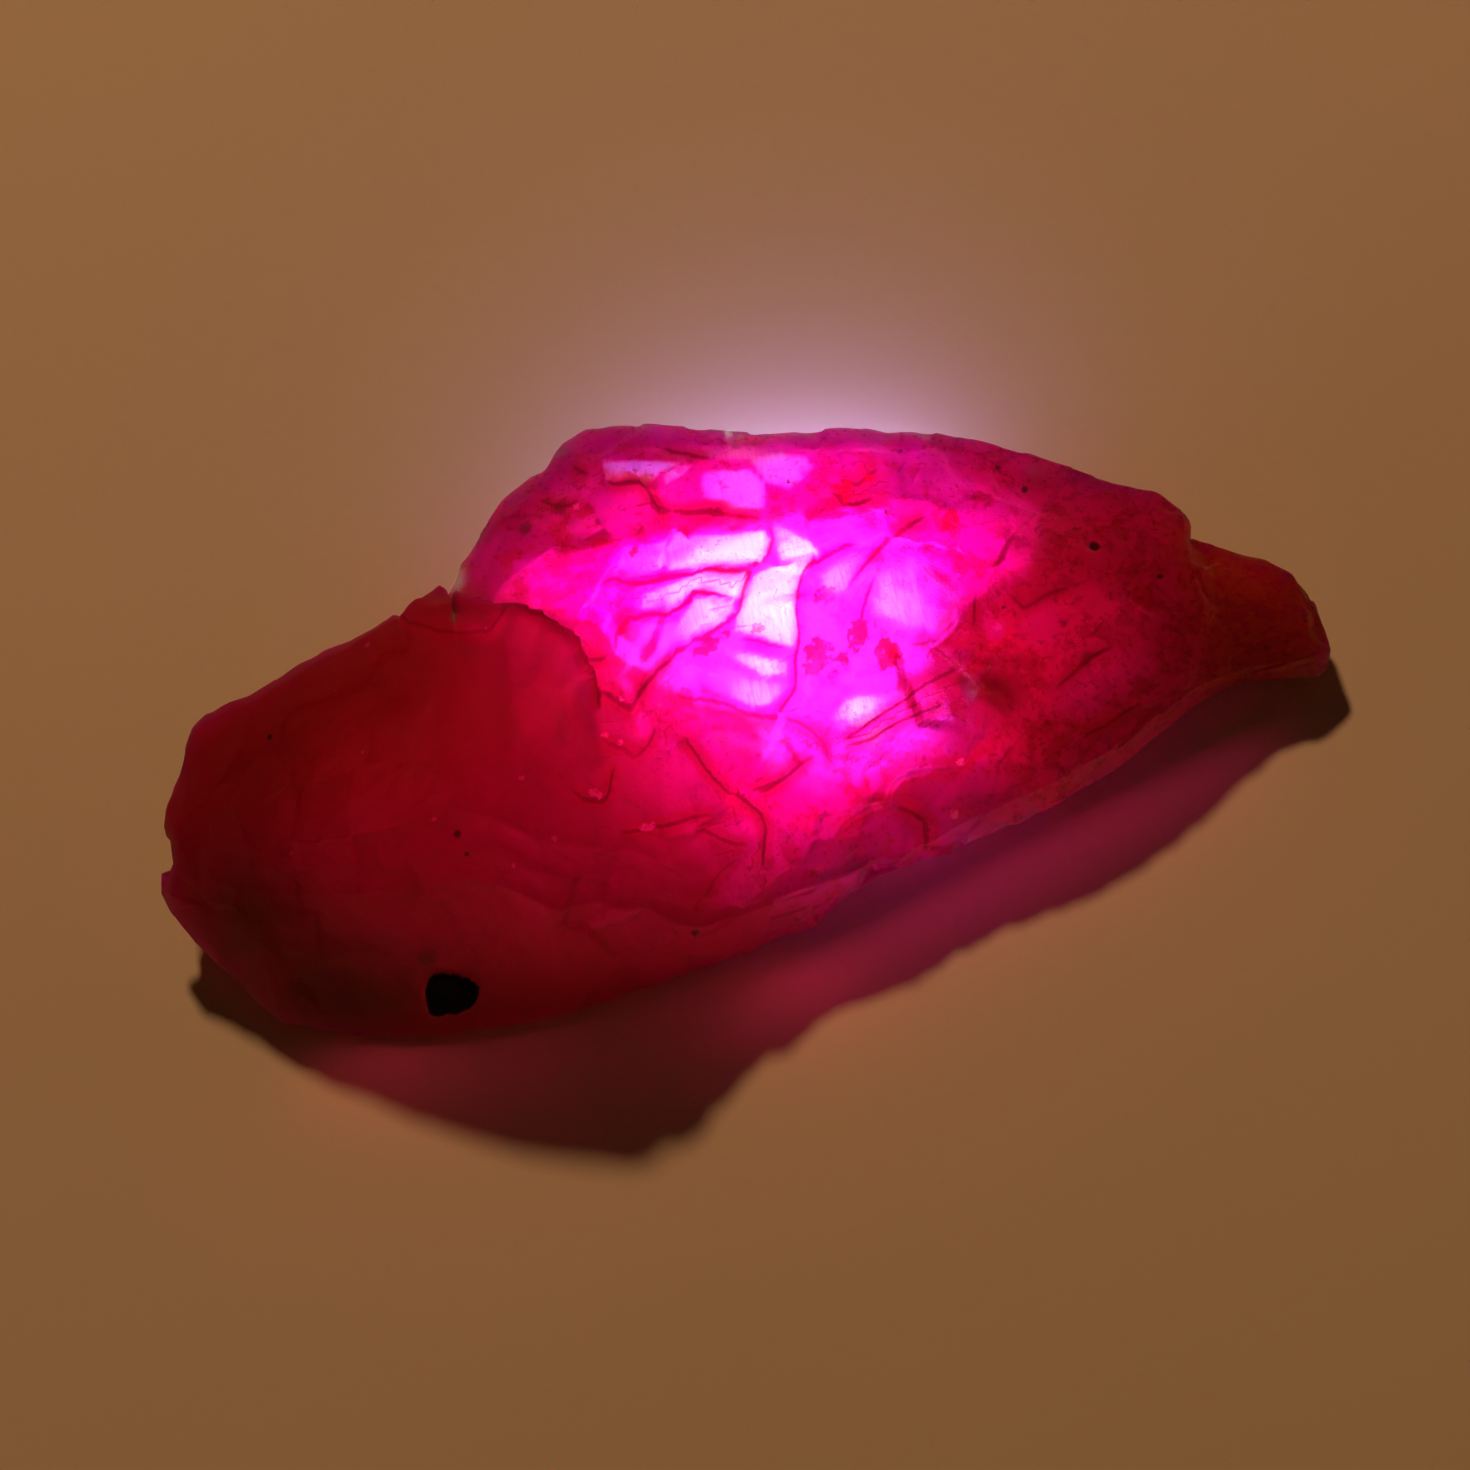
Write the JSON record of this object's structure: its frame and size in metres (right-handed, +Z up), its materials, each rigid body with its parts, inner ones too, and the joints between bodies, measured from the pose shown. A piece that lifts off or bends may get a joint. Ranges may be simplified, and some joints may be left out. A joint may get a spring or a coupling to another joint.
{
  "type": "rough ruby",
  "caption": "Broken lump of rough ruby: a thick blunt lobe that runs out into a fractured, translucent slab with a small tail, lying on a flat base.",
  "frame": {"origin": "on the ground under the middle of the stone's box", "axes": "+X along the stone from the thick lobe to the tail, +Y away from the near flank, +Z up from the flat base"},
  "size_m": [0.0462, 0.023, 0.0095],
  "materials": {
    "ruby": "broken, translucent crystal with a dull gloss; crimson lobe, magenta slab, one black mineral grain"
  },
  "bodies": {
    "root": {"ruby_stone": "ruby"}
  },
  "joints": []
}
